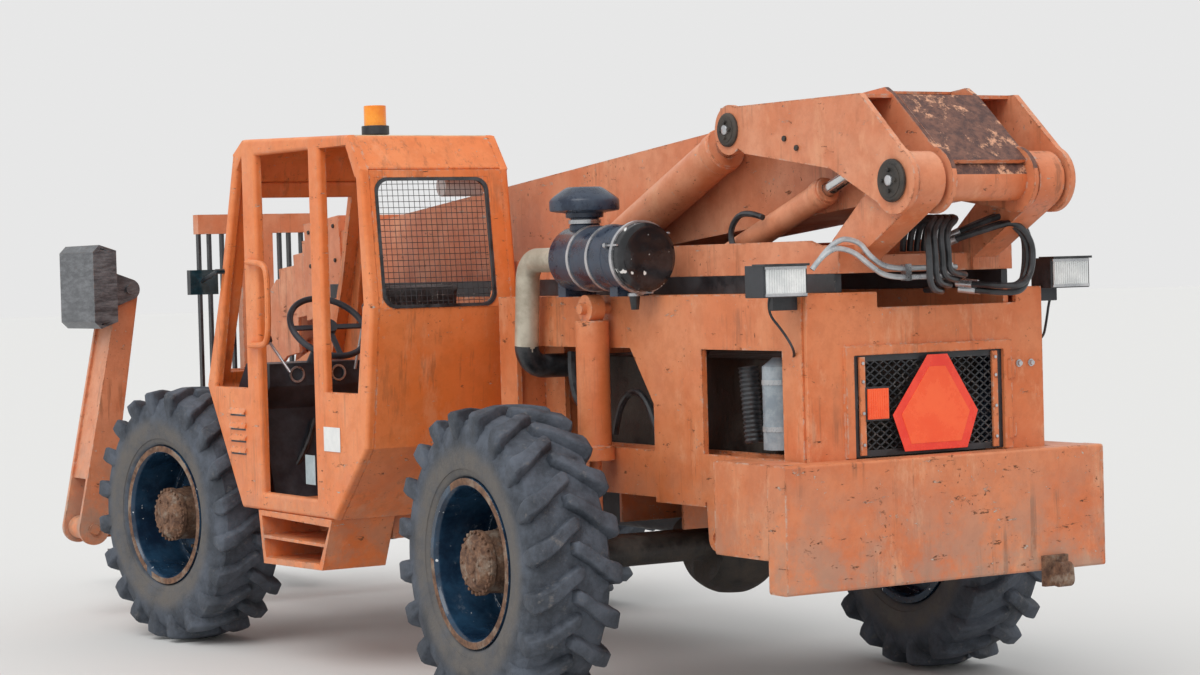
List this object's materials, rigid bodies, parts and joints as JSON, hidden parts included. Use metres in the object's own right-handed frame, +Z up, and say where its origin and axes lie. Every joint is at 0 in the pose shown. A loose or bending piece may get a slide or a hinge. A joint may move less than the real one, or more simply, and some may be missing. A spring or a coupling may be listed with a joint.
{
  "type": "rough-terrain forklift truck with telescopic boom",
  "caption": "Four-wheel rough-terrain forklift truck: offset cab, sliding telescopic boom with forks, outriggers and rear counterweight.",
  "frame": {"origin": "on the ground, under the middle of the bounding box of the whole truck, forks included", "axes": "+X forwards along the forks, +Y to the left side where the cab is, +Z up"},
  "size_m": [7.965, 2.7354, 2.5705],
  "materials": {
    "orange_paint": "faded orange paint",
    "weight_paint": "faded orange paint, scuffed",
    "black_paint": "black paint",
    "cast_iron": "rusty iron",
    "chrome_rod": "polished",
    "worn_steel": "worn bare steel",
    "pale_pipe": "pale paint",
    "dark_plastic": "matte",
    "seat_cover": "vinyl",
    "tyre": "rubber",
    "rim_paint": "dark blue paint"
  },
  "bodies": {
    "root": {"frame_left": "orange_paint", "frame_right": "orange_paint", "frame_members": "orange_paint", "carriage_rails": "black_paint", "counterweight": "weight_paint", "rear_panel": "orange_paint", "rear_grille": "black_paint", "engine_block": "cast_iron", "radiator": "black_paint", "axle_cylinders": "orange_paint", "rear_axle": "cast_iron", "front_axle": "cast_iron", "cab_left": "orange_paint", "cab_right": "orange_paint", "cab_rear": "orange_paint", "cab_roof": "orange_paint", "cab_front": "orange_paint", "cab_floor": "orange_paint", "seat": "seat_cover", "dash_console": "dark_plastic", "steering_wheel": "dark_plastic", "air_cleaner": "black_paint", "intake_pipe": "pale_pipe", "lamps": "black_paint", "mirror": "black_paint", "pintle_hitch": "cast_iron", "fuel_tank": "orange_paint"},
    "carriage": {"boom_carriage": "orange_paint"},
    "boom_outer": {"boom_outer": "orange_paint"},
    "boom_mid": {"boom_mid": "orange_paint"},
    "boom_inner": {"boom_inner": "orange_paint"},
    "fork_carriage": {"fork_carriage": "orange_paint", "forks": "worn_steel"},
    "lift_barrels": {"lift_barrels": "orange_paint"},
    "lift_rods": {"lift_rods": "chrome_rod"},
    "level_barrels": {"level_barrels": "orange_paint"},
    "level_rods": {"level_rods": "chrome_rod"},
    "tilt_barrel": {"tilt_barrel": "orange_paint"},
    "tilt_rod": {"tilt_rod": "chrome_rod"},
    "outrigger_arm_left": {"outrigger_arm_left": "orange_paint"},
    "outrigger_foot_left": {"outrigger_foot_left": "worn_steel"},
    "outrigger_barrel_left": {"outrigger_barrel_left": "orange_paint"},
    "outrigger_rod_left": {"outrigger_rod_left": "chrome_rod"},
    "outrigger_arm_right": {"outrigger_arm_right": "orange_paint"},
    "outrigger_foot_right": {"outrigger_foot_right": "worn_steel"},
    "outrigger_barrel_right": {"outrigger_barrel_right": "orange_paint"},
    "outrigger_rod_right": {"outrigger_rod_right": "chrome_rod"},
    "knuckle_front_left": {"knuckle_front_left": "cast_iron"},
    "wheel_front_left": {"rim_front_left": "rim_paint", "tyre_front_left": "tyre"},
    "knuckle_front_right": {"knuckle_front_right": "cast_iron"},
    "wheel_front_right": {"rim_front_right": "rim_paint", "tyre_front_right": "tyre"},
    "knuckle_rear_left": {"knuckle_rear_left": "cast_iron"},
    "wheel_rear_left": {"rim_rear_left": "rim_paint", "tyre_rear_left": "tyre"},
    "knuckle_rear_right": {"knuckle_rear_right": "cast_iron"},
    "wheel_rear_right": {"rim_rear_right": "rim_paint", "tyre_rear_right": "tyre"}
  },
  "joints": [
    {"name": "carriage_slide", "type": "slide", "parent": "root", "child": "carriage", "axis": [1, 0, 0], "range_m": [0, 2.03]},
    {"name": "boom_lift", "type": "hinge", "parent": "carriage", "child": "boom_outer", "pos_m": [-3.8575, 0, 2.11], "axis": [0, -1, 0], "range_deg": [0, 75]},
    {"name": "boom_extend", "type": "slide", "parent": "boom_outer", "child": "boom_mid", "axis": [0.9959, 0, -0.0906], "range_m": [0, 4.15]},
    {"name": "boom_extend_inner", "type": "slide", "parent": "boom_mid", "child": "boom_inner", "axis": [0.9959, 0, -0.0906], "range_m": [0, 4.15]},
    {"name": "fork_tilt", "type": "hinge", "parent": "boom_inner", "child": "fork_carriage", "pos_m": [2.4425, 0, 0.6], "axis": [0, 1, 0], "range_deg": [-12, 85]},
    {"name": "lift_barrel_swing", "type": "hinge", "parent": "carriage", "child": "lift_barrels", "pos_m": [-1.2175, 0, 1.668], "axis": [0, -1, 0], "range_deg": [-6.99, 0.01]},
    {"name": "lift_rod_slide", "type": "slide", "parent": "lift_barrels", "child": "lift_rods", "axis": [-0.9164, 0, 0.4002], "range_m": [-0.0005, 1.3043]},
    {"name": "level_barrel_swing", "type": "hinge", "parent": "carriage", "child": "level_barrels", "pos_m": [-2.5575, 0, 1.83], "axis": [0, -1, 0], "range_deg": [-6.47, 0.01]},
    {"name": "level_rod_slide", "type": "slide", "parent": "level_barrels", "child": "level_rods", "axis": [-0.9437, 0, 0.3308], "range_m": [-0.0005, 0.3857]},
    {"name": "tilt_barrel_swing", "type": "hinge", "parent": "boom_inner", "child": "tilt_barrel", "pos_m": [1.8525, 0, 1.44], "axis": [0, -1, 0], "range_deg": [-2.9, 0.42]},
    {"name": "tilt_rod_slide", "type": "slide", "parent": "tilt_barrel", "child": "tilt_rod", "axis": [0.7859, 0, -0.6184], "range_m": [-0.069, 0.4852]},
    {"name": "outrigger_left", "type": "hinge", "parent": "root", "child": "outrigger_arm_left", "pos_m": [2.2425, 1.222, 0.49], "axis": [-1, 0, 0], "range_deg": [0, 115]},
    {"name": "outrigger_foot_swing_left", "type": "hinge", "parent": "outrigger_arm_left", "child": "outrigger_foot_left", "pos_m": [2.2425, 0.988, 1.77], "axis": [1, 0, 0], "range_deg": [0, 40]},
    {"name": "outrigger_barrel_swing_left", "type": "hinge", "parent": "root", "child": "outrigger_barrel_left", "pos_m": [2.2085, 0.262, 0.7], "axis": [1, 0, 0], "range_deg": [-10.1, 0.01]},
    {"name": "outrigger_rod_slide_left", "type": "slide", "parent": "outrigger_barrel_left", "child": "outrigger_rod_left", "axis": [0, 0.9972, 0.0746], "range_m": [-0.0005, 0.5464]},
    {"name": "outrigger_right", "type": "hinge", "parent": "root", "child": "outrigger_arm_right", "pos_m": [2.2425, -1.222, 0.49], "axis": [1, 0, 0], "range_deg": [0, 115]},
    {"name": "outrigger_foot_swing_right", "type": "hinge", "parent": "outrigger_arm_right", "child": "outrigger_foot_right", "pos_m": [2.2425, -0.988, 1.77], "axis": [-1, 0, 0], "range_deg": [0, 40]},
    {"name": "outrigger_barrel_swing_right", "type": "hinge", "parent": "root", "child": "outrigger_barrel_right", "pos_m": [2.2085, -0.262, 0.7], "axis": [-1, 0, 0], "range_deg": [-10.1, 0.01]},
    {"name": "outrigger_rod_slide_right", "type": "slide", "parent": "outrigger_barrel_right", "child": "outrigger_rod_right", "axis": [0, -0.9972, 0.0746], "range_m": [-0.0005, 0.5464]},
    {"name": "steer_front_left", "type": "hinge", "parent": "root", "child": "knuckle_front_left", "pos_m": [1.0925, 0.93, 0.636], "axis": [0, 0, 1], "range_deg": [-40, 24]},
    {"name": "wheel_front_left", "type": "hinge", "parent": "knuckle_front_left", "child": "wheel_front_left", "pos_m": [1.06912, 1.09637, 0.636], "axis": [-0.1392, 0.9903, 0], "continuous": true},
    {"name": "steer_front_right", "type": "hinge", "parent": "root", "child": "knuckle_front_right", "pos_m": [1.0925, -0.93, 0.636], "axis": [0, 0, 1], "range_deg": [-40, 24]},
    {"name": "wheel_front_right", "type": "hinge", "parent": "knuckle_front_right", "child": "wheel_front_right", "pos_m": [1.11588, -1.09637, 0.636], "axis": [-0.1392, 0.9903, 0], "continuous": true},
    {"name": "steer_rear_left", "type": "hinge", "parent": "root", "child": "knuckle_rear_left", "pos_m": [-2.1575, 0.93, 0.636], "axis": [0, 0, 1], "range_deg": [-30, 34]},
    {"name": "wheel_rear_left", "type": "hinge", "parent": "knuckle_rear_left", "child": "wheel_rear_left", "pos_m": [-2.15164, 1.0979, 0.636], "axis": [0.0349, 0.9994, 0], "continuous": true},
    {"name": "steer_rear_right", "type": "hinge", "parent": "root", "child": "knuckle_rear_right", "pos_m": [-2.1575, -0.93, 0.636], "axis": [0, 0, 1], "range_deg": [-30, 34]},
    {"name": "wheel_rear_right", "type": "hinge", "parent": "knuckle_rear_right", "child": "wheel_rear_right", "pos_m": [-2.16336, -1.0979, 0.636], "axis": [0.0349, 0.9994, 0], "continuous": true}
  ],
  "couplings": [
    {"joint": "boom_extend_inner", "follows": "boom_extend", "ratio": 1},
    {"joint": "lift_barrel_swing", "follows": "boom_lift", "ratio": -0.093018},
    {"joint": "lift_rod_slide", "follows": "boom_lift", "m_per_rad": 0.99602},
    {"joint": "level_barrel_swing", "follows": "boom_lift", "ratio": -0.086017},
    {"joint": "level_rod_slide", "follows": "boom_lift", "m_per_rad": 0.29426},
    {"joint": "tilt_barrel_swing", "follows": "fork_tilt", "ratio": -0.033925},
    {"joint": "tilt_rod_slide", "follows": "fork_tilt", "m_per_rad": 0.32667},
    {"joint": "outrigger_barrel_swing_left", "follows": "outrigger_left", "ratio": -0.087664},
    {"joint": "outrigger_rod_slide_left", "follows": "outrigger_left", "m_per_rad": 0.27194},
    {"joint": "outrigger_barrel_swing_right", "follows": "outrigger_right", "ratio": -0.087664},
    {"joint": "outrigger_rod_slide_right", "follows": "outrigger_right", "m_per_rad": 0.27194},
    {"joint": "steer_front_right", "follows": "steer_front_left", "ratio": 1},
    {"joint": "steer_rear_right", "follows": "steer_rear_left", "ratio": 1}
  ]
}
